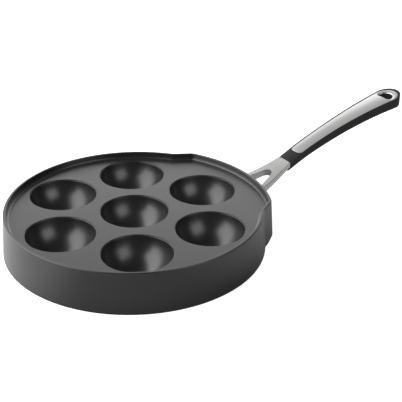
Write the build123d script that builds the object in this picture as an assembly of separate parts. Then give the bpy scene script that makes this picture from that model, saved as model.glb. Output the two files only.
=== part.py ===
"""A pan for round stuffed pancakes: seven half-round wells in one cast plate, on a forked steel handle.

Millimetres, +Z up, the handle along +X, the origin on the pan's axis at the hob.
"""

from build123d import *
import math
import os

# The wells: one in the middle and a ring round it
ring_count = 6
well_radius = 31.0
well_depth = 28.0
well_gap = 13.5
well_floor = 4.4
well_edge_radius = 0.5
well_step_margin = 0.7
well_step_depth = 0.5
well_wall = 3.4
well_pad_radius = 11.0

# The cast pan round them
rim_margin = 11.0
rim_rise = 5.7
wall_draft_angle = 3.9
skirt_wall = 3.2
plate_thickness = 4.0

# The rim, from its outer edge to the plate
land_width = 2.5
ledge_drop = 3.6
ledge_width = 0.9
inner_draft_angle = 5.0
rim_edge_radius = 0.8
land_edge_radius = 0.5
ledge_edge_radius = 0.35
plate_edge_radius = 1.6

# The wider stretch of wall that the handle is fixed to
bulge_step = 8.5
bulge_half_angle = 30.3
bulge_foot_half_angle = 38.9
bulge_corner_radius = 13.0
bulge_bevel_height = 3.6
bulge_bevel_width = 5.6

# The flat seat on the wall, and the yoke's foot that is riveted to it
seat_proud = 3.5
seat_back = 5.0
seat_margin = 1.5
foot_width = 46.0
foot_height = 18.0
foot_thickness = 4.0
foot_centre_height = 17.0
foot_corner_radius = 4.0
rivet_radius = 2.5
rivet_head_radius = 4.4
rivet_head_height = 1.9
rivet_spacing = 15.0
rivet_clearance = 0.1

# The handle's top line: shares of its length from the foot to the tip, and of its rise
handle_length = 193.8
handle_foot_offset = 6.8
handle_rise = 55.7
line_length_shares = (0.0, 0.083, 0.176, 0.254, 0.341, 0.445, 0.569, 0.703, 0.8275, 0.927, 1.0)
line_rise_shares = (0.0, 0.0716, 0.1867, 0.3088, 0.4345, 0.5616, 0.6953, 0.8151, 0.9054, 0.9636, 1.0)
slope_step = 0.5

# The forked steel yoke, with its tang inside the grip
yoke_length = 42.5
yoke_neck_width = 18.6
yoke_foot_thickness = 7.4
yoke_neck_thickness = 5.6
yoke_crown = 0.4
yoke_belly = 0.3
yoke_corner_radius = 1.0
yoke_edge_radius = 1.0
yoke_sections = 5
leg_width = 4.8
fork_gap = 26.4
fork_gap_length = 37.5
fork_end_radius = 6.3
tang_width = 10.4
tang_thickness = 2.0
tang_cover = 0.7
tang_tip_margin = 34.3
tang_sections = 7

# The black grip
grip_neck_width = 17.9
grip_end_width = 30.8
grip_growth = 1.75
grip_neck_depth = 10.7
grip_end_depth = 13.1
grip_crown = 1.1
grip_belly = 0.3
grip_corner_radius = 4.2
grip_edge_radius = 0.4
grip_sections = 10
tip_length = 15.3
channel_clearance = 0.2

# The steel plate let into the top of the grip
collar_length = 13.0
sheet_thickness = 1.6
sheet_sink = 0.5
sheet_corner_radius = 5.0
sheet_edge_radius = 0.5
sheet_lip = 1.1
sheet_tip_lip = 2.8
seat_gap = 0.05
side_gap = 0.1

# The hole to hang it by: round towards the tip and flat towards the pan
hole_radius = 8.3
hole_flat_reach = 3.8
hole_end_margin = 8.5
hole_corner_radius = 2.4
hole_edge_radius = 1.1

# Studs under the plate, and the screws and washers that draw it down from below
screw_length_shares = (0.40, 0.74)
stud_radius = 3.2
stud_length = 4.6
stud_clearance = 0.25
screw_radius = 2.0
screw_clearance = 0.3
thread_clearance = 0.05
screw_head_radius = 3.6
screw_head_height = 2.0
screw_head_sink = 0.5
screw_socket_radius = 1.5
screw_socket_depth = 1.2
screw_socket_sides = 6
washer_radius = 3.8
washer_thickness = 0.8
counterbore_clearance = 0.4

# How far the cutting shapes run past what they cut
overrun = 5.0

# The pan's outer sizes
ring_radius = 2 * well_radius + well_gap
rim_radius = ring_radius + well_radius + rim_margin
plate_height = well_depth + well_floor
well_edge_height = plate_height - well_step_depth
rim_height = plate_height + rim_rise
ledge_height = rim_height - ledge_drop
wall_spread = rim_height * math.tan(math.radians(wall_draft_angle))
bulge_radius = rim_radius + bulge_step

# The places along the handle
seat_reach = bulge_radius + seat_proud
seat_thickness = seat_proud + seat_back
foot_face = seat_reach + foot_thickness
fork_gap_tip = foot_face + fork_gap_length
grip_start = foot_face + yoke_length
plate_start = grip_start + collar_length
handle_tip = foot_face + handle_length
tang_end = handle_tip - tang_tip_margin
tip_shoulder = handle_tip - tip_length

# The handle's sizes that follow from its neighbours'
handle_foot_rise = foot_centre_height + handle_foot_offset
yoke_foot_width = fork_gap + 2 * leg_width
sheet_bottom = sheet_sink + sheet_thickness
tang_drop = sheet_bottom + tang_cover


def polar(radius, degrees):
    """The point at a radius and an angle from the handle."""
    return (radius * math.cos(math.radians(degrees)), radius * math.sin(math.radians(degrees)))


def well_centres():
    """The middle well, then the ring, whose first well is in line with the handle."""
    ring = [polar(ring_radius, 360 * i / ring_count) for i in range(ring_count)]
    return [(0, 0)] + ring


def line_height(station):
    """The height of the handle's top line at a distance from the pan's axis: a cubic through the table."""
    share = (station - foot_face) / handle_length
    xs, ys = line_length_shares, line_rise_shares
    last = len(xs) - 1
    i = max(k for k in range(last) if k == 0 or xs[k] <= share)
    slopes = []
    for k in (i, i + 1):
        before, after = max(k - 1, 0), min(k + 1, last)
        slopes.append((ys[after] - ys[before]) / (xs[after] - xs[before]))
    span = xs[i + 1] - xs[i]
    t = (share - xs[i]) / span
    height = (2 * t**3 - 3 * t**2 + 1) * ys[i] + (3 * t**2 - 2 * t**3) * ys[i + 1]
    height += span * ((t**3 - 2 * t**2 + t) * slopes[0] + (t**3 - t**2) * slopes[1])
    return handle_foot_rise + handle_rise * height


def line_plane(station):
    """A plane on the handle's top line, its Z square to the line."""
    slope = (line_height(station + slope_step) - line_height(station - slope_step)) / (2 * slope_step)
    return Plane(origin=(station, 0, line_height(station)), x_dir=(1, 0, slope), z_dir=(-slope, 0, 1))


def between(place, start, end, first_size, last_size):
    """A size that grows evenly from the start to the end."""
    return first_size + (last_size - first_size) * (place - start) / (end - start)


def corner_arc(x, y, radius, start_angle, end_angle):
    """An arc about a centre, from one angle to another."""
    angles = (start_angle, (start_angle + end_angle) / 2, end_angle)
    return ThreePointArc(*[Vector(x, y) + Vector(*polar(radius, angle)) for angle in angles])


def section(station, width, top, bottom, crown, belly, corner, edge):
    """A crowned section of the handle across its length, with rounded lower corners and upper edges."""
    half = width / 2
    shoulder = top - crown - edge
    low_left = corner_arc(corner - half, bottom + corner, corner, 180, 270)
    low_right = corner_arc(half - corner, bottom + corner, corner, 270, 360)
    floor = ThreePointArc(low_left @ 1, (0, bottom - belly), low_right @ 0)
    right_edge = corner_arc(half - edge, shoulder, edge, 0, 90)
    left_edge = corner_arc(edge - half, shoulder, edge, 90, 180)
    roof = ThreePointArc(right_edge @ 1, (0, top), left_edge @ 0)
    sides = [Line(low_right @ 1, right_edge @ 0), Line(left_edge @ 1, low_left @ 0)]
    face = make_face([low_left, floor, low_right, sides[0], right_edge, roof, left_edge, sides[1]])
    return Plane(origin=(station, 0, 0), x_dir=(0, 1, 0), z_dir=(1, 0, 0)) * face


def pan_outline():
    """The rim seen from above: a circle, and a wider arc round the handle with eased shoulders."""
    foot_left, foot_right = [polar(rim_radius, side * bulge_foot_half_angle) for side in (1, -1)]
    wide_left, wide_right = [polar(bulge_radius, side * bulge_half_angle) for side in (1, -1)]
    long_arc = ThreePointArc(foot_left, (-rim_radius, 0), foot_right)
    wide_arc = ThreePointArc(wide_right, (bulge_radius, 0), wide_left)
    outline = make_face([long_arc, Line(foot_right, wide_right), wide_arc, Line(wide_left, foot_left)])
    return fillet(outline.vertices(), bulge_corner_radius)


def pan_blank(outline):
    """The drafted outer block, with the seat for the yoke and the bevel under the wider stretch."""
    blank = extrude(Pos(0, 0, rim_height) * outline, rim_height, dir=(0, 0, -1), taper=-wall_draft_angle)
    bevel_inner = bulge_radius + wall_spread - bulge_bevel_width
    bevel_slope = bulge_bevel_height / bulge_bevel_width
    reach = bulge_bevel_width + overrun
    triangle = Polyline(
        (bevel_inner, 0), (bevel_inner + reach, 0), (bevel_inner + reach, reach * bevel_slope), close=True
    )
    blank = fillet(blank.faces().sort_by(Axis.Z)[-1].edges(), rim_edge_radius)
    return blank - revolve(Plane.XZ * make_face(triangle), Axis.Z)


def under_cavity(outline):
    """The hollow under the plate, inside the skirt."""
    floor = offset(outline, wall_spread - skirt_wall)
    return extrude(floor, plate_height - plate_thickness, taper=wall_draft_angle)


def pocket(outline, inset, top, bottom):
    """A hollow sunk from one height to another inside the rim, drawn in a little as it goes down."""
    mouth = Pos(0, 0, top) * offset(outline, -inset)
    return extrude(mouth, top - bottom, dir=(0, 0, -1), taper=inner_draft_angle)


def rim_pockets(outline):
    """What is cut away above the plate: a step down to the ledge and a second one to the plate."""
    ledge_inset = land_width + ledge_drop * math.tan(math.radians(inner_draft_angle)) + ledge_width
    upper = pocket(outline, land_width, rim_height, ledge_height)
    lower = pocket(outline, ledge_inset, ledge_height, plate_height)
    return upper + fillet(lower.faces().sort_by(Axis.Z)[0].edges(), plate_edge_radius)


def well_ball(grow):
    """The ball that a well is cut with, or with its wall added, the outside of the well."""
    radius = (well_radius**2 + well_depth**2) / (2 * well_depth)
    return Pos(0, 0, plate_height - well_depth + radius) * Sphere(radius + grow)


def well_step():
    """The shallow step that a well's mouth lies in."""
    upright = (Align.CENTER, Align.CENTER, Align.MIN)
    return Pos(0, 0, well_edge_height) * Cylinder(well_radius + well_step_margin, overrun, align=upright)


def well_cup():
    """A well's outside below the plate, with the flat pad that it stands on."""
    reach = well_radius + well_wall
    upright = (Align.CENTER, Align.CENTER, Align.MIN)
    below = Box(2 * reach, 2 * reach, plate_height - plate_thickness / 2, align=upright)
    pad = Cylinder(well_pad_radius, well_floor, align=upright)
    return (well_ball(well_wall) & below) + pad


def foot_outline(margin):
    """The rounded outline of the yoke's foot, square to the handle, grown by a margin."""
    plane = Plane(origin=(seat_reach, 0, foot_centre_height), x_dir=(0, 1, 0), z_dir=(1, 0, 0))
    width, height = foot_width + 2 * margin, foot_height + 2 * margin
    return plane * RectangleRounded(width, height, foot_corner_radius + margin)


def rivet_places():
    """Where the rivets cross the seat's face, on axes along +X."""
    return [(seat_reach, side * rivet_spacing / 2, foot_centre_height) for side in (-1, 1)]


def along_x(radius, start, end):
    """A round bar along +X, to be placed at a height and a side."""
    bar = Cylinder(radius, end - start, align=(Align.CENTER, Align.CENTER, Align.MIN))
    return Pos(start, 0, 0) * Rot(0, 90, 0) * bar


def rivet_holes():
    """The holes through the seat and the foot."""
    bar = along_x(rivet_radius + rivet_clearance, -seat_thickness - overrun, foot_thickness + overrun)
    return [Pos(*place) * bar for place in rivet_places()]


def pan_body():
    """The cast pan: drafted wall, stepped rim, plate, seven wells and the seat for the yoke."""
    outline = pan_outline()
    body = pan_blank(outline) - under_cavity(outline) - rim_pockets(outline)
    body += extrude(foot_outline(seat_margin), -seat_thickness)
    body += [Pos(x, y, 0) * well_cup() for x, y in well_centres()]
    body -= [Pos(x, y, 0) * (well_ball(0) + well_step()) for x, y in well_centres()]
    body -= rivet_holes()
    level = body.edges().filter_by_position(Axis.Z, well_edge_height, well_edge_height)
    rings = level.filter_by(GeomType.CIRCLE)
    mouths = [e for e in rings if abs(e.radius - well_radius) < well_step_margin / 2]
    body = fillet(mouths, well_edge_radius)
    for height, radius in ((rim_height, land_edge_radius), (ledge_height, ledge_edge_radius)):
        step = [f for f in body.faces().filter_by(Axis.Z) if abs(f.center().Z - height) < ledge_edge_radius]
        body = fillet(step[0].inner_wires()[0].edges(), radius)
    return body


def yoke_blade():
    """The fork before its gap is cut: crowned sections that narrow from the foot to the grip."""
    end = grip_start + overrun
    rounding = (yoke_crown, yoke_belly, yoke_corner_radius, yoke_edge_radius)
    faces = []
    for i in range(yoke_sections):
        station = between(i, 0, yoke_sections - 1, foot_face - foot_thickness / 2, end)
        width = between(station, foot_face, grip_start, yoke_foot_width, yoke_neck_width)
        thickness = between(station, foot_face, grip_start, yoke_foot_thickness, yoke_neck_thickness)
        top = line_height(station)
        faces.append(section(station, width, top, top - thickness, *rounding))
    blade = loft(faces)
    keep = Pos(grip_start, 0, 0) * Box(2 * handle_length, 2 * yoke_foot_width, 2 * handle_tip,
                                       align=(Align.MAX, Align.CENTER, Align.CENTER))
    return blade & keep


def tang_bar(grow, start, end):
    """The flat bar inside the grip, following the handle's line; grown, it cuts the grip's channel."""
    faces = []
    for i in range(tang_sections):
        station = between(i, 0, tang_sections - 1, start, end)
        middle = line_height(station) - tang_drop - tang_thickness / 2
        plane = Plane(origin=(station, 0, middle), x_dir=(0, 1, 0), z_dir=(1, 0, 0))
        faces.append(plane * Rectangle(tang_width + 2 * grow, tang_thickness + 2 * grow))
    return loft(faces)


def screw_stations():
    """How far from the pan's axis the two screws stand."""
    return [foot_face + share * handle_length for share in screw_length_shares]


def on_line(station, radius, top, bottom):
    """A round bar square to the handle's line, between two depths below it."""
    bar = Cylinder(radius, bottom - top, align=(Align.CENTER, Align.CENTER, Align.MAX))
    return line_plane(station) * Pos(0, 0, -top) * bar


def yoke():
    """The forked steel bracket: a riveted foot, two legs, a neck and a tang that the grip hides."""
    fork_gap_outline = make_face(
        Polyline((foot_face, -fork_gap / 2), (foot_face, fork_gap / 2), (fork_gap_tip, 0), close=True)
    )
    apex = fork_gap_outline.vertices().sort_by(Axis.X)[-1]
    body = yoke_blade() - extrude(fillet(apex, fork_end_radius), handle_tip)
    body += extrude(foot_outline(0), foot_thickness)
    body += tang_bar(0, grip_start - overrun, tang_end)
    body -= rivet_holes()
    body -= [on_line(s, stud_radius + stud_clearance, 0, stud_length + overrun) for s in screw_stations()]
    return body


def yoke_rivets():
    """Domed rivets through the pan's seat and the yoke's foot, each turned about its own axis."""
    start, end, head = -seat_thickness, foot_thickness, rivet_head_radius
    dome_radius = (head**2 + rivet_head_height**2) / (2 * rivet_head_height)
    turn = math.degrees(math.asin(head / dome_radius))
    inner_dome = corner_arc(start - rivet_head_height + dome_radius, 0, dome_radius, 180, 180 - turn)
    outer_dome = corner_arc(end + rivet_head_height - dome_radius, 0, dome_radius, turn, 0)
    shank = Polyline((start, head), (start, rivet_radius), (end, rivet_radius), (end, head))
    axis_line = Line(outer_dome @ 1, inner_dome @ 0)
    rivet = revolve(make_face([inner_dome, shank, outer_dome, axis_line]), Axis.X)
    return Part() + [Pos(*place) * rivet for place in rivet_places()]


def grip_width(station):
    """The grip's width: even along the collar, then growing ever faster up to where the tip is rounded off."""
    share = max(between(station, plate_start, handle_tip, 0, 1), 0)
    return grip_neck_width + (grip_end_width - grip_neck_width) * share**grip_growth


def grip_depth(station):
    """The grip's depth below the handle's line, which grows evenly from the neck to the tip."""
    return between(station, grip_start, handle_tip, grip_neck_depth, grip_end_depth)


def grip_solid(drop):
    """The whole outside of the grip, with the plate in it, lowered by a drop."""
    rounding = (grip_crown, grip_belly, grip_corner_radius, grip_edge_radius)
    faces = []
    for i in range(grip_sections):
        station = between(i, 0, grip_sections - 1, grip_start, handle_tip)
        top = line_height(station) - drop
        faces.append(section(station, grip_width(station), top, top - grip_depth(station), *rounding))
    return loft(faces)


def tip_arc(inset, tip_inset):
    """The round end of the handle from above, set in by an inset at its sides and another at its tip."""
    half = grip_width(tip_shoulder) / 2 - inset
    return ThreePointArc((tip_shoulder, -half), (handle_tip - tip_inset, 0), (tip_shoulder, half))


def grip_outline():
    """What the grip is cut to from above: clear of its sides, and round at the tip."""
    arc = tip_arc(0, 0)
    clear = (arc @ 1) + Vector(0, overrun)
    back = Vector(grip_start, clear.Y)
    mirrored = [(p.X, -p.Y) for p in (back, clear)]
    return make_face([Polyline(arc @ 1, clear, back, *mirrored, arc @ 0), arc])


def sheet_outline(grow):
    """The steel plate's outline from above, along the grip's sides, grown by a clearance for its seat."""
    arc = tip_arc(sheet_lip - grow, sheet_tip_lip - grow)
    start = plate_start - grow
    stations = [between(i, 0, grip_sections - 1, start, tip_shoulder) for i in range(grip_sections)]
    left = Spline(*[(station, grip_width(station) / 2 - sheet_lip + grow) for station in stations])
    right = Spline(*[(station, sheet_lip - grow - grip_width(station) / 2) for station in stations])
    outline = make_face([left, arc, right, Line(left @ 0, right @ 0)])
    return fillet(outline.vertices().sort_by(Axis.X)[:2], sheet_corner_radius)


def hole_outline():
    """The hole from above: a circle cut flat on the side of the pan, with rounded corners."""
    centre = handle_tip - hole_end_margin - hole_radius
    half_plane = Pos(centre - hole_flat_reach, 0) * Rectangle(
        2 * hole_radius, 2 * hole_radius, align=(Align.MIN, Align.CENTER)
    )
    outline = half_plane & Pos(centre, 0) * Circle(hole_radius)
    return fillet(outline.vertices(), hole_corner_radius)


def top_plate():
    """The steel sheet let into the grip below its lip, crowned, with the hanging hole and its eased edges."""
    skin = grip_solid(sheet_sink) - grip_solid(sheet_bottom)
    sheet = (skin & extrude(sheet_outline(0), handle_tip)) - extrude(hole_outline(), handle_tip)
    for is_inner, radius in ((True, hole_edge_radius), (False, sheet_edge_radius)):
        roof = sheet.faces().filter_by(lambda face: face.normal_at().Z > 0).sort_by(SortBy.AREA)[-1]
        rims = roof.inner_wires() if is_inner else [roof.outer_wire()]
        sheet = fillet(rims[0].edges(), radius)
    return sheet


def plate_studs():
    """Threaded studs welded under the plate, which the screws pull on."""
    core = grip_solid(sheet_bottom + seat_gap)
    studs = [on_line(s, stud_radius, 0, stud_length) & core for s in screw_stations()]
    bores = [on_line(s, screw_radius + thread_clearance, sheet_bottom + seat_gap + screw_clearance,
                     stud_length + overrun) for s in screw_stations()]
    return Part() + [stud - bore for stud, bore in zip(studs, bores)]


def head_seat(station):
    """How deep below the handle's line the washer's seat lies at a station."""
    return grip_depth(station) + grip_belly - screw_head_sink - screw_head_height - washer_thickness


def tip_corner():
    """What is cut away to round the lower corner of the grip's tip, all round its end."""
    arc, radius = tip_arc(0, 0), grip_corner_radius
    side = radius + overrun
    low = line_height(tip_shoulder) - grip_depth(tip_shoulder) - grip_belly
    block = Pos(arc.radius - radius, radius) * Rectangle(side, side, align=(Align.MIN, Align.MAX))
    ring = revolve(Plane.XZ * (block - Pos(arc.radius - radius, radius) * Circle(radius)), Axis.Z)
    reach = tip_length + side
    front = Box(reach, 2 * reach, 2 * side, align=(Align.MIN, Align.CENTER, Align.CENTER))
    return Pos(arc.arc_center.X, 0, low) * ring & Pos(tip_shoulder, 0, low) * front


def grip():
    """The black moulding: a collar round the neck, a channel for the tang and a seat for the plate."""
    body = grip_solid(0) & extrude(grip_outline(), handle_tip)
    body -= tip_corner()
    body -= extrude(sheet_outline(side_gap), handle_tip) - grip_solid(sheet_bottom + seat_gap)
    body -= tang_bar(channel_clearance, grip_start - overrun, tang_end + channel_clearance)
    body -= extrude(hole_outline(), handle_tip)
    for s in screw_stations():
        body -= on_line(s, stud_radius + stud_clearance, 0, stud_length + stud_clearance)
        body -= on_line(s, screw_radius + screw_clearance, stud_length, grip_end_depth + overrun)
        body -= on_line(s, washer_radius + counterbore_clearance, head_seat(s), grip_end_depth + overrun)
    return body


def grip_washers():
    """Washers under the screws' heads, in the counterbores under the grip."""
    rings = []
    for s in screw_stations():
        ring = on_line(s, washer_radius, head_seat(s), head_seat(s) + washer_thickness)
        rings.append(ring - on_line(s, screw_radius + screw_clearance, 0, grip_end_depth + overrun))
    return Part() + rings


def grip_screws():
    """Socket screws from under the grip into the studs."""
    hexagon = RegularPolygon(screw_socket_radius, screw_socket_sides)
    screws = []
    for s in screw_stations():
        under_head = head_seat(s) + washer_thickness
        top = sheet_bottom + seat_gap + 2 * screw_clearance
        end = under_head + screw_head_height
        screw = on_line(s, screw_radius, top, under_head) + on_line(s, screw_head_radius, under_head, end)
        socket = line_plane(s) * Pos(0, 0, -end) * extrude(hexagon, screw_socket_depth)
        screws.append(screw - socket)
    return Part() + screws


def main():
    """Writes each sub-part as its own STEP file."""
    os.makedirs("parts", exist_ok=True)
    for make in (pan_body, yoke, yoke_rivets, grip, top_plate, plate_studs, grip_washers, grip_screws):
        export_step(make(), f"parts/{make.__name__}.step")


main()
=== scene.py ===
import math

import bmesh
import bpy
import numpy as np
from bpy.props import FloatProperty, FloatVectorProperty, PointerProperty
from mathutils import Matrix, Vector


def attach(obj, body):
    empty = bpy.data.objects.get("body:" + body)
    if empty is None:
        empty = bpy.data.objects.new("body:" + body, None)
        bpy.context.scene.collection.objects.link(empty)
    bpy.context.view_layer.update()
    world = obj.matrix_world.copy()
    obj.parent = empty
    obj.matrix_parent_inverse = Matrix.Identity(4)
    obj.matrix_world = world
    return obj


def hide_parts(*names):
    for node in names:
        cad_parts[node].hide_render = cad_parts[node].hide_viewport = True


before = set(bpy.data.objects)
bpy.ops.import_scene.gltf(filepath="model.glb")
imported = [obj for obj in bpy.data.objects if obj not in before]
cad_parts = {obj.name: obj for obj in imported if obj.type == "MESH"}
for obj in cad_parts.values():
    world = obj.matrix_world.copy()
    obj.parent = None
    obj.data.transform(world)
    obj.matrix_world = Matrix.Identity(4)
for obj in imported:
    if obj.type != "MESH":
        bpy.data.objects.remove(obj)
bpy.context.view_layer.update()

bl_info = {
    "name": "Pan for round stuffed pancakes",
    "version": (1, 0, 0),
    "blender": (4, 5, 0),
    "location": "3D View > Sidebar > Pan",
    "description": "Finishes of the cast pan with seven wells and its forked steel handle",
    "category": "Object",
}

# The photograph's view of the pan, in metres in the frame of the model
CAMERA_PLACE = (-0.406432, -0.670852, 0.449544)
CAMERA_RIGHT = (0.81568, -0.57842, 0.00941)
CAMERA_UP = (0.25996, 0.38102, 0.88727)
CAMERA_BACK = (-0.51680, -0.72129, 0.46116)
SENSOR_WIDTH = 36.0

# The lamps: azimuth and elevation in degrees, distance, width and height in metres
LAMPS = {
    "left_softbox": (147, 38, 1.2, 2.1, 1.12),
    "right_softbox": (-72, 29, 1.5, 1.05, 0.85),
    "back_softbox": (60, 18, 1.8, 2.6, 1.05),
    "top_softbox": (74, 54, 1.6, 1.8, 1.0),
}

# The white backdrop in reflections: its brightness, the elevations between which it fades out,
# and the azimuth it rises towards, with where that rise starts, where it ends and its level
BACKDROP_LEVEL = 1.4
BACKDROP_FULL = 6
BACKDROP_END = 24
BACKDROP_SIDE = (100, -0.3, 0.5, 1)

# The floor: its net, its finish, how bright the camera sees it, and its glow in reflections on the left
# and on the right: the azimuth it rises towards, where that rise starts, where it ends and its level
FLOOR_RINGS = 12
FLOOR_SIDES = 96
FLOOR_GREY = 0.5
FLOOR_ROUGHNESS = 0.9
FLOOR_WHITE = 0.85
FLOOR_LEFT_GLOW = (110, -0.04, 0.05, 0.65)
FLOOR_RIGHT_GLOW = (-30, 0.08, 0.16, 0.22)

# The noise in the finishes: the scales of clouds, grains and lines, their detail, and the range drawn out
COATING_CLOUD_SCALE = 38
COATING_GRAIN_SCALE = 900
MOULDING_CLOUD_SCALE = 60
MOULDING_GRAIN_SCALE = 1900
STEEL_CLOUD_SCALE = 45
YOKE_LINE_SCALE = 260
YOKE_LINE_STRETCH = (1, 7, 7)
PLATE_LINE_SCALE = 120
PLATE_LINE_STRETCH = (1, 30, 30)
COARSE_DETAIL = 2
FINE_DETAIL = 3
LINE_DETAIL = 4
NOISE_LOW = 0.3
NOISE_HIGH = 0.7

# How far the noise changes the colour and the roughness, and the strength and depth of its relief
COATING_TINT = 1.25
MOULDING_TINT = 1.3
STEEL_TINT = 0.9
COATING_ROUGHNESS_SPREAD = 0.025
MOULDING_ROUGHNESS_SPREAD = 0.04
STEEL_ROUGHNESS_SPREAD = 0.03
COATING_RELIEF = (0.22, 0.0001)
MOULDING_RELIEF = (0.25, 0.0001)
STEEL_RELIEF = (0.10, 0.00005)

# The handle's line and outline, in millimetres, as the model has them
MM = 0.001
FOOT_FACE = 133.5
HANDLE_LENGTH = 193.8
HANDLE_FOOT_RISE = 23.8
HANDLE_RISE = 55.7
LINE_LENGTH_SHARES = np.array((0.0, 0.083, 0.176, 0.254, 0.341, 0.445, 0.569, 0.703, 0.8275, 0.927, 1.0))
LINE_RISE_SHARES = np.array(
    (0.0, 0.0716, 0.1867, 0.3088, 0.4345, 0.5616, 0.6953, 0.8151, 0.9054, 0.9636, 1.0))
HANDLE_TIP = 327.3
GRIP_NECK_WIDTH = 17.9
GRIP_END_WIDTH = 30.8
GRIP_GROWTH = 1.75
GRIP_CROWN = 1.1
GRIP_EDGE_RADIUS = 0.4

# The steel plate let into the grip, and the hole to hang it by
PLATE_START = 189.0
PLATE_LIP = 1.1
PLATE_TIP = 324.5
PLATE_SHOULDER = 312.0
PLATE_SINK = 0.5
PLATE_THICKNESS = 1.6
PLATE_CORNER = 5.0
HOLE_CENTRE = 310.5
HOLE_RADIUS = 8.3
HOLE_FLAT = 3.8
HOLE_CORNER = 2.4

# The plate's two nets: how far before the hole they meet, and how many points they have across the plate,
# along its rounded corners, along the rest, round the hole and on each ray from the hole
PLATE_NET_CUT = 16.0
ACROSS_POINTS = 41
CORNER_POINTS = 13
ALONG_POINTS = 52
ROUND_POINTS = 121
RAY_POINTS = 29

# How near points are joined and how short an edge is dropped, in millimetres
JOIN_DISTANCE = 0.002
SHORT_EDGE = 0.0005

# What a divisor is at least, and how often a ray's way to the outline is worked out again
LEAST_DIVISOR = 1e-6
OUTLINE_ROUNDS = 6


# Helpers for materials

def new_material(name):
    """A material with one shader: returns the material, its nodes, its links and the shader."""
    material = bpy.data.materials.new(name)
    material.use_nodes = True
    nodes, links = material.node_tree.nodes, material.node_tree.links
    nodes.clear()
    output = nodes.new("ShaderNodeOutputMaterial")
    shader = nodes.new("ShaderNodeBsdfPrincipled")
    links.new(shader.outputs["BSDF"], output.inputs["Surface"])
    return material, nodes, links, shader


def object_noise(nodes, links, scale, detail, stretch=(1, 1, 1)):
    """Noise on Object coordinates, stretched along the axes: returns its value output."""
    place = nodes.new("ShaderNodeTexCoord")
    mapping = nodes.new("ShaderNodeMapping")
    mapping.inputs["Scale"].default_value = stretch
    noise = nodes.new("ShaderNodeTexNoise")
    noise.inputs["Scale"].default_value = scale
    noise.inputs["Detail"].default_value = detail
    links.new(place.outputs["Object"], mapping.inputs["Vector"])
    links.new(mapping.outputs["Vector"], noise.inputs["Vector"])
    return noise.outputs["Fac"]


def spread(nodes, links, value, middle, reach):
    """A noise value drawn out to both sides of a middle value."""
    spread_node = nodes.new("ShaderNodeMapRange")
    spread_node.inputs["From Min"].default_value = NOISE_LOW
    spread_node.inputs["From Max"].default_value = NOISE_HIGH
    spread_node.inputs["To Min"].default_value = middle - reach
    spread_node.inputs["To Max"].default_value = middle + reach
    links.new(value, spread_node.inputs["Value"])
    return spread_node.outputs["Result"]


def tint(nodes, links, value, dark, light):
    """A colour between a dark and a light one, by a value from 0 to 1."""
    ramp = nodes.new("ShaderNodeValToRGB")
    ramp.color_ramp.elements[0].color = (*dark, 1)
    ramp.color_ramp.elements[1].color = (*light, 1)
    links.new(value, ramp.inputs["Fac"])
    return ramp.outputs["Color"]


def bump(nodes, links, shader, height, strength, distance):
    """Small relief from a height value."""
    relief = nodes.new("ShaderNodeBump")
    relief.inputs["Strength"].default_value = strength
    relief.inputs["Distance"].default_value = distance
    links.new(height, relief.inputs["Height"])
    links.new(relief.outputs["Normal"], shader.inputs["Normal"])


def coating_material(settings):
    """The satin non-stick coating over cast aluminium."""
    material, nodes, links, shader = new_material("non_stick_cast_aluminium")
    cloud = object_noise(nodes, links, COATING_CLOUD_SCALE, FINE_DETAIL)
    grain = object_noise(nodes, links, COATING_GRAIN_SCALE, FINE_DETAIL)
    dark = tuple(settings.coating_colour)
    light = tuple(COATING_TINT * c for c in dark)
    links.new(tint(nodes, links, cloud, dark, light), shader.inputs["Base Color"])
    rough = spread(nodes, links, cloud, settings.coating_roughness, COATING_ROUGHNESS_SPREAD)
    links.new(rough, shader.inputs["Roughness"])
    bump(nodes, links, shader, grain, *COATING_RELIEF)
    shader.inputs["Specular IOR Level"].default_value = settings.coating_specular
    return material


def steel_material(name, colour, roughness, stretch, scale):
    """Steel with fine lines drawn out along one axis."""
    material, nodes, links, shader = new_material(name)
    lines = object_noise(nodes, links, scale, LINE_DETAIL, stretch)
    cloud = object_noise(nodes, links, STEEL_CLOUD_SCALE, COARSE_DETAIL)
    dark = tuple(STEEL_TINT * c for c in colour)
    links.new(tint(nodes, links, lines, dark, tuple(colour)), shader.inputs["Base Color"])
    rough = spread(nodes, links, cloud, roughness, STEEL_ROUGHNESS_SPREAD)
    links.new(rough, shader.inputs["Roughness"])
    bump(nodes, links, shader, lines, *STEEL_RELIEF)
    shader.inputs["Metallic"].default_value = 1
    return material


def moulding_material(settings):
    """Black moulded handle material with a fine matt grain."""
    material, nodes, links, shader = new_material("black_moulding")
    cloud = object_noise(nodes, links, MOULDING_CLOUD_SCALE, COARSE_DETAIL)
    grain = object_noise(nodes, links, MOULDING_GRAIN_SCALE, FINE_DETAIL)
    dark = tuple(settings.moulding_colour)
    light = tuple(MOULDING_TINT * c for c in dark)
    links.new(tint(nodes, links, cloud, dark, light), shader.inputs["Base Color"])
    rough = spread(nodes, links, cloud, settings.moulding_roughness, MOULDING_ROUGHNESS_SPREAD)
    links.new(rough, shader.inputs["Roughness"])
    bump(nodes, links, shader, grain, *MOULDING_RELIEF)
    shader.inputs["Specular IOR Level"].default_value = settings.moulding_specular
    return material


# Helpers for surfaces

def grid_quads(rows, columns, first, flip):
    """The four corners of every cell of a grid whose points are stored row by row."""
    row, column = np.meshgrid(np.arange(rows - 1), np.arange(columns - 1), indexing="ij")
    corner = (first + row * columns + column).ravel()
    quads = np.stack([corner, corner + columns, corner + columns + 1, corner + 1], -1)
    return quads[:, ::-1] if flip else quads


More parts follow.
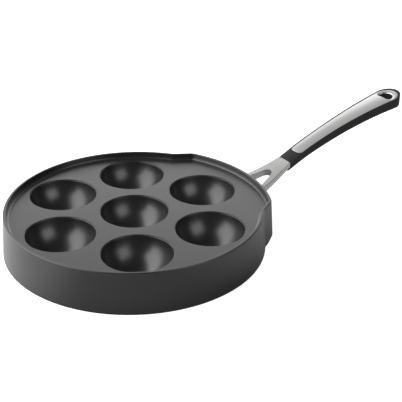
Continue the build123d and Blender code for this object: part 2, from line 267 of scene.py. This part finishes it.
def put_piece(name, grids, material):
    """One piece from grids of points in millimetres, each with whether it is flipped, mapped from above."""
    points, quads, first = [], [], 0
    for grid, flip in grids:
        rows, columns = grid.shape[:2]
        points.append(grid.reshape(-1, 3))
        quads.append(grid_quads(rows, columns, first, flip))
        first += rows * columns
    points = np.concatenate(points) * MM
    quads = np.concatenate(quads)
    mesh = bpy.data.meshes.new(name)
    mesh.vertices.add(len(points))
    mesh.vertices.foreach_set("co", points.ravel())
    mesh.loops.add(quads.size)
    mesh.loops.foreach_set("vertex_index", quads.ravel())
    mesh.polygons.add(len(quads))
    mesh.polygons.foreach_set("loop_start", np.arange(0, quads.size, 4))
    mesh.update(calc_edges=True)
    layer = mesh.uv_layers.new(name="surface")
    layer.data.foreach_set("uv", points[quads.ravel()][:, :2].ravel())
    shell = bmesh.new()
    shell.from_mesh(mesh)
    bmesh.ops.remove_doubles(shell, verts=shell.verts, dist=JOIN_DISTANCE * MM)
    bmesh.ops.dissolve_degenerate(shell, edges=shell.edges, dist=SHORT_EDGE * MM)
    shell.to_mesh(mesh)
    shell.free()
    mesh.polygons.foreach_set("use_smooth", np.ones(len(mesh.polygons), bool))
    mesh.materials.append(material)
    piece = bpy.data.objects.new(name, mesh)
    bpy.context.scene.collection.objects.link(piece)
    return piece


def line_height(station):
    """The height of the handle's top line: a cubic through the table, each entry sloped as its neighbours."""
    xs, ys = LINE_LENGTH_SHARES, LINE_RISE_SHARES
    before = np.maximum(np.arange(len(xs)) - 1, 0)
    after = np.minimum(np.arange(len(xs)) + 1, len(xs) - 1)
    slopes = (ys[after] - ys[before]) / (xs[after] - xs[before])
    share = (station - FOOT_FACE) / HANDLE_LENGTH
    i = np.clip(np.searchsorted(xs, share, "right") - 1, 0, len(xs) - 2)
    span = xs[i + 1] - xs[i]
    t = (share - xs[i]) / span
    height = (2 * t**3 - 3 * t**2 + 1) * ys[i] + (3 * t**2 - 2 * t**3) * ys[i + 1]
    height += span * ((t**3 - 2 * t**2 + t) * slopes[i] + (t**3 - t**2) * slopes[i + 1])
    return HANDLE_FOOT_RISE + HANDLE_RISE * height


def grip_half_width(station):
    """Half the grip's width: even along the collar, then growing ever faster up to the tip."""
    share = np.clip((station - PLATE_START) / (HANDLE_TIP - PLATE_START), 0, 1)
    return (GRIP_NECK_WIDTH + (GRIP_END_WIDTH - GRIP_NECK_WIDTH) * share**GRIP_GROWTH) / 2


def crown_drop(station, side):
    """How far the crowned top lies below the handle's line at a distance to the side: a circle's arc."""
    chord = grip_half_width(station) - GRIP_EDGE_RADIUS
    radius = (chord**2 + GRIP_CROWN**2) / (2 * GRIP_CROWN)
    return radius - np.sqrt(radius**2 - side**2)


def rounding_drop(inset, radius):
    """How far a rounded edge falls at a distance inside it: a quarter of a circle."""
    short = np.clip(radius - inset, 0, radius)
    return radius - np.sqrt(radius**2 - short**2)


def ray_to_circle(turn, centre, radius):
    """How far a ray from the middle of the hole goes to the far side of a circle."""
    along = centre[0] * np.cos(turn) + centre[1] * np.sin(turn)
    inside = along**2 - centre[0]**2 - centre[1]**2 + radius**2
    return along + np.sqrt(np.maximum(inside, 0))


def hole_corner():
    """The middle of the hole's upper corner arc, from the middle of the hole."""
    x = HOLE_CORNER - HOLE_FLAT
    return x, math.sqrt((HOLE_RADIUS - HOLE_CORNER) ** 2 - x**2)


def hole_reach(turn):
    """How far the hole's edge is from its middle: a circle, cut flat on one side, with rounded corners."""
    corner = hole_corner()
    folded = np.abs(np.arctan2(np.sin(turn), np.cos(turn)))
    flat = HOLE_FLAT / np.maximum(-np.cos(folded), LEAST_DIVISOR)
    rounded = ray_to_circle(folded, corner, HOLE_CORNER)
    first, last = math.atan2(corner[1], corner[0]), math.atan2(corner[1], -HOLE_FLAT)
    return np.where(folded < first, HOLE_RADIUS, np.where(folded < last, rounded, flat))


def hole_distance(station, side):
    """How far a point is outside the hole's edge."""
    corner = hole_corner()
    x, y = station - HOLE_CENTRE, np.abs(side)
    flat = corner[0] - x
    disc = np.hypot(x, y) - (HOLE_RADIUS - HOLE_CORNER)
    tip = np.hypot(x - corner[0], y - corner[1])
    by_disc = x * corner[1] > y * corner[0]
    inner = np.where(by_disc, disc, np.where(y < corner[1], flat, tip))
    return np.maximum(inner - HOLE_CORNER, 0)


def plate_tip_circle():
    """The centre and the radius of the arc round the plate's tip."""
    half = grip_half_width(PLATE_SHOULDER) - PLATE_LIP
    rise = PLATE_TIP - PLATE_SHOULDER
    radius = (half**2 + rise**2) / (2 * rise)
    return PLATE_TIP - radius, radius


def plate_half_width(station):
    """Half the plate's width, with rounded corners at its front end."""
    short = np.clip(PLATE_START + PLATE_CORNER - station, 0, PLATE_CORNER)
    return grip_half_width(station) - PLATE_LIP - PLATE_CORNER + np.sqrt(PLATE_CORNER**2 - short**2)


def plate_inset(station, side):
    """How far a point is inside the plate's edge."""
    centre, radius = plate_tip_circle()
    to_side = grip_half_width(station) - PLATE_LIP - np.abs(side)
    to_front = station - PLATE_START
    in_corner = (to_side < PLATE_CORNER) & (to_front < PLATE_CORNER)
    to_corner = PLATE_CORNER - np.hypot(PLATE_CORNER - to_side, PLATE_CORNER - to_front)
    to_tip = np.where(station > centre, radius - np.hypot(station - centre, side), PLATE_CORNER)
    return np.maximum(np.minimum(np.where(in_corner, to_corner, np.minimum(to_side, to_front)), to_tip), 0)


def outline_reach(turn, cut):
    """How far a ray from the middle of the hole goes to the plate's outline, or to the cut across it."""
    centre, radius = plate_tip_circle()
    reach = np.full_like(turn, HOLE_RADIUS)
    for _ in range(OUTLINE_ROUNDS):
        half = plate_half_width(HOLE_CENTRE + reach * np.cos(turn))
        reach = np.minimum(half / np.maximum(np.abs(np.sin(turn)), LEAST_DIVISOR), 2 * HOLE_CENTRE)
    tip = ray_to_circle(turn, (centre - HOLE_CENTRE, 0), radius)
    reach = np.where(HOLE_CENTRE + reach * np.cos(turn) > PLATE_SHOULDER, tip, reach)
    to_cut = (HOLE_CENTRE - cut) / np.maximum(-np.cos(turn), LEAST_DIVISOR)
    return np.minimum(reach, to_cut)


def smooth_step(share):
    """A value that rises from 0 to 1, level at both ends: three shares squared less two cubed."""
    share = np.clip(share, 0, 1)
    return 3 * share**2 - 2 * share**3


def plate_surface(station, side, settings, under):
    """The plate's points: on the crowned top, dished round the hole's round side, or on its underside."""
    height = line_height(station) - PLATE_SINK - crown_drop(station, side)
    if under:
        height = height - PLATE_THICKNESS
    else:
        hole = hole_distance(station, side)
        width, depth = settings.dish_width / MM, settings.dish_depth / MM
        round_side = smooth_step((station - HOLE_CENTRE + HOLE_FLAT) / HOLE_FLAT)
        height = height - depth * round_side * np.clip(1 - hole / width, 0, 1) ** 2
        height = height - rounding_drop(hole, settings.plate_edge / MM)
        height = height - rounding_drop(plate_inset(station, side), settings.plate_edge / MM)
    return np.stack([station, side, height], -1)


def steel_plate(settings, material):
    """The plate as two nets, one up to the hole and one of rays round it, each a top and an underside.

    Straight net: stations along the handle by shares of the half width. Round net: the ray at an angle
    from the hole's middle, and on it the share of the way from the hole's edge to the plate's outline.
    """
    cut = HOLE_CENTRE - PLATE_NET_CUT
    edge = np.sin(np.linspace(-0.5, 0.5, ACROSS_POINTS) * math.pi)
    start = PLATE_START + PLATE_CORNER * (1 - np.cos(np.linspace(0, 0.5, CORNER_POINTS) * math.pi))
    stations = np.concatenate([start, np.linspace(start[-1], cut, ALONG_POINTS)[1:]])
    straight = np.repeat(stations[:, None], len(edge), 1)
    across = plate_half_width(straight) * edge
    half = plate_half_width(cut)
    at_cut = np.arctan2(half * edge, cut - HOLE_CENTRE) % (2 * math.pi)
    round_tip = np.linspace(at_cut[0] - 2 * math.pi, at_cut[-1], ROUND_POINTS)
    turn = np.concatenate([round_tip[:-1], at_cut[::-1]])[:, None]
    share = (1 - np.cos(np.linspace(0, 1, RAY_POINTS) * math.pi))[None, :] / 2
    near, far = hole_reach(turn), outline_reach(turn, cut)
    reach = near + (far - near) * share
    around, aside = HOLE_CENTRE + reach * np.cos(turn), reach * np.sin(turn)
    top, base = (plate_surface(straight, across, settings, under) for under in (False, True))
    round_top, round_base = (plate_surface(around, aside, settings, under) for under in (False, True))
    tip = slice(0, ROUND_POINTS)
    edges = [
        (np.stack([top[0], base[0]]), True),
        (np.stack([top[:, 0], base[:, 0]]), False),
        (np.stack([top[:, -1], base[:, -1]]), True),
        (np.stack([round_top[:, 0], round_base[:, 0]]), True),
        (np.stack([round_top[tip, -1], round_base[tip, -1]]), False),
    ]
    nets = [(top, False), (base, True), (round_top, True), (round_base, False)]
    return put_piece("brushed_plate", nets + edges, material)


def dress(node_name, material):
    """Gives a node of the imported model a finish."""
    for material_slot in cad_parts[node_name].material_slots:
        material_slot.material = material


# Helpers for the stage

def soft_lamp(name, azimuth, elevation, distance, width, height, power):
    """A lamp with straight sides in a direction from the pan, turned to it."""
    turn, rise = math.radians(azimuth), math.radians(elevation)
    direction = Vector((math.cos(turn) * math.cos(rise), math.sin(turn) * math.cos(rise), math.sin(rise)))
    lamp = bpy.data.lights.new(name, "AREA")
    lamp.shape = "RECTANGLE"
    lamp.size, lamp.size_y = width, height
    lamp.energy = power
    holder = bpy.data.objects.new(name, lamp)
    holder.location = distance * direction
    holder.rotation_euler = direction.to_track_quat("Z", "Y").to_euler()
    holder.visible_camera = False
    bpy.context.scene.collection.objects.link(holder)


def floor_mesh(radius):
    """A flat round floor: each ring's distance from the middle is the radius times its share squared."""
    share = np.linspace(0, 1, FLOOR_RINGS + 1)[1:, None]
    angle = np.linspace(0, 2 * math.pi, FLOOR_SIDES, endpoint=False)[None, :]
    reach = radius * share**2
    level = np.zeros((FLOOR_RINGS, FLOOR_SIDES))
    points = np.stack([reach * np.cos(angle), reach * np.sin(angle), level], -1).reshape(-1, 3)
    row, column = np.meshgrid(np.arange(FLOOR_RINGS - 1), np.arange(FLOOR_SIDES), indexing="ij")
    inner, outer, after = row * FLOOR_SIDES, (row + 1) * FLOOR_SIDES, (column + 1) % FLOOR_SIDES
    quads = np.stack([inner + column, outer + column, outer + after, inner + after], -1).reshape(-1, 4)
    middle = [tuple(range(FLOOR_SIDES))]
    mesh = bpy.data.meshes.new("floor")
    mesh.from_pydata(points.tolist(), [], quads.tolist() + middle)
    return mesh


def seen_directly(nodes, links):
    """Two outputs: 1 for a ray from the camera, a reflection or glass, and 1 for a ray from the camera."""
    ray = nodes.new("ShaderNodeLightPath")
    value = ray.outputs["Is Camera Ray"]
    for name in ("Is Glossy Ray", "Is Transmission Ray"):
        larger = nodes.new("ShaderNodeMath")
        larger.operation = "MAXIMUM"
        links.new(value, larger.inputs[0])
        links.new(ray.outputs[name], larger.inputs[1])
        value = larger.outputs[0]
    return value, ray.outputs["Is Camera Ray"]


def rising_towards(nodes, links, place, azimuth, start, end, level):
    """A value that rises from nothing to a level between two distances in a direction."""
    turn = math.radians(azimuth)
    along = nodes.new("ShaderNodeVectorMath")
    along.operation = "DOT_PRODUCT"
    along.inputs[1].default_value = (math.cos(turn), math.sin(turn), 0)
    links.new(place, along.inputs[0])
    rise = nodes.new("ShaderNodeMapRange")
    rise.interpolation_type = "SMOOTHSTEP"
    rise.inputs["From Min"].default_value = start
    rise.inputs["From Max"].default_value = end
    rise.inputs["To Max"].default_value = level
    links.new(along.outputs["Value"], rise.inputs["Value"])
    return rise.outputs["Result"]


def combined(nodes, links, operation, first, second):
    """Two values added or multiplied."""
    node = nodes.new("ShaderNodeMath")
    node.operation = operation
    for socket, value in zip(node.inputs, (first, second)):
        if isinstance(value, bpy.types.NodeSocket):
            links.new(value, socket)
        else:
            socket.default_value = value
    return node.outputs[0]


def floor_material():
    """White for the camera, with a softer glow in reflections on the left and on the right."""
    material, nodes, links, shader = new_material("studio_floor")
    shader.inputs["Base Color"].default_value = (FLOOR_GREY, FLOOR_GREY, FLOOR_GREY, 1)
    shader.inputs["Roughness"].default_value = FLOOR_ROUGHNESS
    shader.inputs["Specular IOR Level"].default_value = 0
    shader.inputs["Emission Color"].default_value = (1, 1, 1, 1)
    seen, camera = seen_directly(nodes, links)
    place = nodes.new("ShaderNodeTexCoord").outputs["Object"]
    left = rising_towards(nodes, links, place, *FLOOR_LEFT_GLOW)
    right = rising_towards(nodes, links, place, *FLOOR_RIGHT_GLOW)
    reflected = combined(nodes, links, "MULTIPLY", seen, combined(nodes, links, "ADD", left, right))
    direct = combined(nodes, links, "MULTIPLY", camera, FLOOR_WHITE)
    links.new(combined(nodes, links, "ADD", reflected, direct), shader.inputs["Emission Strength"])
    return material


def studio_world(level):
    """A white backdrop behind the pan and to its left, in a dim room; the camera sees white everywhere."""
    world = bpy.data.worlds.new("studio")
    world.use_nodes = True
    nodes, links = world.node_tree.nodes, world.node_tree.links
    background = nodes["Background"]
    background.inputs["Color"].default_value = (1, 1, 1, 1)
    seen, camera = seen_directly(nodes, links)
    place = nodes.new("ShaderNodeTexCoord").outputs["Generated"]
    axes = nodes.new("ShaderNodeSeparateXYZ")
    links.new(place, axes.inputs[0])
    backdrop = nodes.new("ShaderNodeMapRange")
    backdrop.interpolation_type = "SMOOTHSTEP"
    backdrop.inputs["From Min"].default_value = math.sin(math.radians(BACKDROP_FULL))
    backdrop.inputs["From Max"].default_value = math.sin(math.radians(BACKDROP_END))
    backdrop.inputs["To Min"].default_value = 1
    backdrop.inputs["To Max"].default_value = 0
    links.new(axes.outputs["Z"], backdrop.inputs["Value"])
    side = rising_towards(nodes, links, place, *BACKDROP_SIDE)
    white = combined(nodes, links, "MULTIPLY", backdrop.outputs["Result"], side)
    shown = combined(nodes, links, "MULTIPLY", seen, white)
    reflected = nodes.new("ShaderNodeMix")
    reflected.inputs["A"].default_value = level
    reflected.inputs["B"].default_value = BACKDROP_LEVEL
    links.new(shown, reflected.inputs["Factor"])
    strength = nodes.new("ShaderNodeMix")
    strength.inputs["B"].default_value = 1
    links.new(camera, strength.inputs["Factor"])
    links.new(reflected.outputs["Result"], strength.inputs["A"])
    links.new(strength.outputs["Result"], background.inputs["Strength"])
    bpy.context.scene.world = world


# What a user can change

class PanSettings(bpy.types.PropertyGroup):
    """The finish of the cast pan."""

    coating_colour: FloatVectorProperty(
        name="Coating colour", description="The colour of the non-stick coating",
        subtype="COLOR", size=3, min=0, max=1, default=(0.0120, 0.0122, 0.0124))
    coating_roughness: FloatProperty(
        name="Coating roughness", description="How satin the coating is",
        subtype="FACTOR", min=0, max=1, default=0.31)
    coating_specular: FloatProperty(
        name="Coating gloss", description="How strongly the coating reflects",
        subtype="FACTOR", min=0, max=1, default=0.76)


class HandleSettings(bpy.types.PropertyGroup):
    """The finishes of the handle."""

    steel_colour: FloatVectorProperty(
        name="Steel colour", description="The colour of the yoke and the fasteners",
        subtype="COLOR", size=3, min=0, max=1, default=(0.59, 0.585, 0.575))
    steel_roughness: FloatProperty(
        name="Steel roughness", description="How satin the yoke is",
        subtype="FACTOR", min=0, max=1, default=0.36)
    plate_colour: FloatVectorProperty(
        name="Plate colour", description="The colour of the brushed plate on the grip",
        subtype="COLOR", size=3, min=0, max=1, default=(0.66, 0.655, 0.645))
    plate_roughness: FloatProperty(
        name="Plate roughness", description="How satin the brushed plate is",
        subtype="FACTOR", min=0, max=1, default=0.30)
    dish_width: FloatProperty(
        name="Dish width", description="How wide the plate is dished round the hanging hole",
        unit="LENGTH", min=0, max=0.01, default=0.0034)
    dish_depth: FloatProperty(
        name="Dish depth", description="How deep the plate is dished round the hanging hole",
        unit="LENGTH", min=0, max=0.005, default=0.0010)
    plate_edge: FloatProperty(
        name="Plate edge", description="The rounding of the plate's edges",
        unit="LENGTH", min=0.0001, max=0.001, default=0.0005)
    moulding_colour: FloatVectorProperty(
        name="Moulding colour", description="The colour of the black grip",
        subtype="COLOR", size=3, min=0, max=1, default=(0.0135, 0.0137, 0.0140))
    moulding_roughness: FloatProperty(
        name="Moulding roughness", description="How matt the grip is",
        subtype="FACTOR", min=0, max=1, default=0.58)
    moulding_specular: FloatProperty(
        name="Moulding gloss", description="How strongly the grip reflects",
        subtype="FACTOR", min=0, max=1, default=0.26)


class StageSettings(bpy.types.PropertyGroup):
    """The floor, the lamps and the camera."""

    floor_radius: FloatProperty(
        name="Floor radius", description="How far the floor reaches round the pan",
        unit="LENGTH", min=0.5, max=20, default=6.0)
    lens: FloatProperty(
        name="Lens", description="The camera's focal length on a 36 mm sensor",
        unit="CAMERA", min=10, max=300, default=87.37)
    surroundings: FloatProperty(
        name="Surroundings", description="How much light the room above the white backdrop gives",
        min=0, max=5, default=0.08)
    left_lamp: FloatProperty(
        name="Left lamp", description="The power of the soft lamp on the left",
        unit="POWER", min=0, max=500, default=26.5)
    right_lamp: FloatProperty(
        name="Right lamp", description="The power of the soft lamp on the right of the camera",
        unit="POWER", min=0, max=500, default=6.6)
    back_lamp: FloatProperty(
        name="Back lamp", description="The power of the soft lamp behind the pan",
        unit="POWER", min=0, max=500, default=11.6)
    top_lamp: FloatProperty(
        name="Top lamp", description="The power of the soft lamp above the back of the pan",
        unit="POWER", min=0, max=500, default=3.0)


# Operators: one for each piece or group of like pieces, and one for the stage

class PAN_OT_cast_pan(bpy.types.Operator):
    """Finishes the cast pan with its satin non-stick coating"""

    bl_idname = "pan.cast_pan"
    bl_label = "Cast pan"

    def execute(self, context):
        dress("pan_body", coating_material(context.scene.pan_settings))
        return {"FINISHED"}


class PAN_OT_yoke(bpy.types.Operator):
    """Finishes the forked steel yoke and the fasteners"""

    bl_idname = "pan.yoke"
    bl_label = "Yoke and fasteners"

    def execute(self, context):
        settings = context.scene.handle_settings
        satin = steel_material("satin_steel", settings.steel_colour, settings.steel_roughness,
                               YOKE_LINE_STRETCH, YOKE_LINE_SCALE)
        for name in ("yoke", "yoke_rivets", "plate_studs", "grip_washers", "grip_screws"):
            dress(name, satin)
        return {"FINISHED"}


class PAN_OT_grip(bpy.types.Operator):
    """Finishes the black grip"""

    bl_idname = "pan.grip"
    bl_label = "Grip"

    def execute(self, context):
        dress("grip", moulding_material(context.scene.handle_settings))
        return {"FINISHED"}


class PAN_OT_plate(bpy.types.Operator):
    """Builds the brushed steel plate on the grip"""

    bl_idname = "pan.plate"
    bl_label = "Plate"

    def execute(self, context):
        settings = context.scene.handle_settings
        brushed = steel_material("brushed_plate_steel", settings.plate_colour, settings.plate_roughness,
                                 PLATE_LINE_STRETCH, PLATE_LINE_SCALE)
        plate = steel_plate(settings, brushed)
        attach(plate, "root")
        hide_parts("top_plate")
        return {"FINISHED"}


class PAN_OT_stage(bpy.types.Operator):
    """Sets up the pale floor, the soft lamps and the camera"""

    bl_idname = "pan.stage"
    bl_label = "Stage"

    def execute(self, context):
        settings = context.scene.stage_settings
        scene = context.scene
        scene.view_settings.view_transform = "Standard"
        floor = bpy.data.objects.new("floor", floor_mesh(settings.floor_radius))
        floor.data.materials.append(floor_material())
        scene.collection.objects.link(floor)
        studio_world(settings.surroundings)
        powers = (settings.left_lamp, settings.right_lamp, settings.back_lamp, settings.top_lamp)
        for (name, place), power in zip(LAMPS.items(), powers):
            soft_lamp(name, *place, power)
        camera = bpy.data.cameras.new("photo_camera")
        camera.sensor_width = SENSOR_WIDTH
        camera.lens = settings.lens
        holder = bpy.data.objects.new("photo_camera", camera)
        turn = Matrix((CAMERA_RIGHT, CAMERA_UP, CAMERA_BACK)).transposed().to_4x4()
        holder.matrix_world = Matrix.Translation(CAMERA_PLACE) @ turn
        scene.collection.objects.link(holder)
        scene.camera = holder
        return {"FINISHED"}


class PAN_PT_panel(bpy.types.Panel):
    """Lists the pan's pieces and their settings in the sidebar"""

    bl_idname = "PAN_PT_panel"
    bl_label = "Pan"
    bl_space_type = "VIEW_3D"
    bl_region_type = "UI"
    bl_category = "Pan"

    def draw(self, context):
        for each in OPERATORS:
            self.layout.operator(each.bl_idname)
        for group_name, group in GROUPS:
            box = self.layout.box()
            for name in group.__annotations__:
                box.prop(getattr(context.scene, group_name), name)


OPERATORS = (PAN_OT_cast_pan, PAN_OT_yoke, PAN_OT_grip, PAN_OT_plate, PAN_OT_stage)
GROUPS = (
    ("pan_settings", PanSettings),
    ("handle_settings", HandleSettings),
    ("stage_settings", StageSettings),
)


def register():
    """Adds the classes and the settings."""
    for name, group in GROUPS:
        bpy.utils.register_class(group)
        setattr(bpy.types.Scene, name, PointerProperty(type=group))
    for each in (*OPERATORS, PAN_PT_panel):
        bpy.utils.register_class(each)


def unregister():
    """Takes them away again."""
    for each in reversed((*OPERATORS, PAN_PT_panel)):
        bpy.utils.unregister_class(each)
    for name, group in reversed(GROUPS):
        delattr(bpy.types.Scene, name)
        bpy.utils.unregister_class(group)


def main():
    """Registers the add-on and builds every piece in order."""
    register()
    bpy.ops.pan.cast_pan()
    bpy.ops.pan.yoke()
    bpy.ops.pan.grip()
    bpy.ops.pan.plate()
    bpy.ops.pan.stage()


if __name__ == "__main__":
    main()
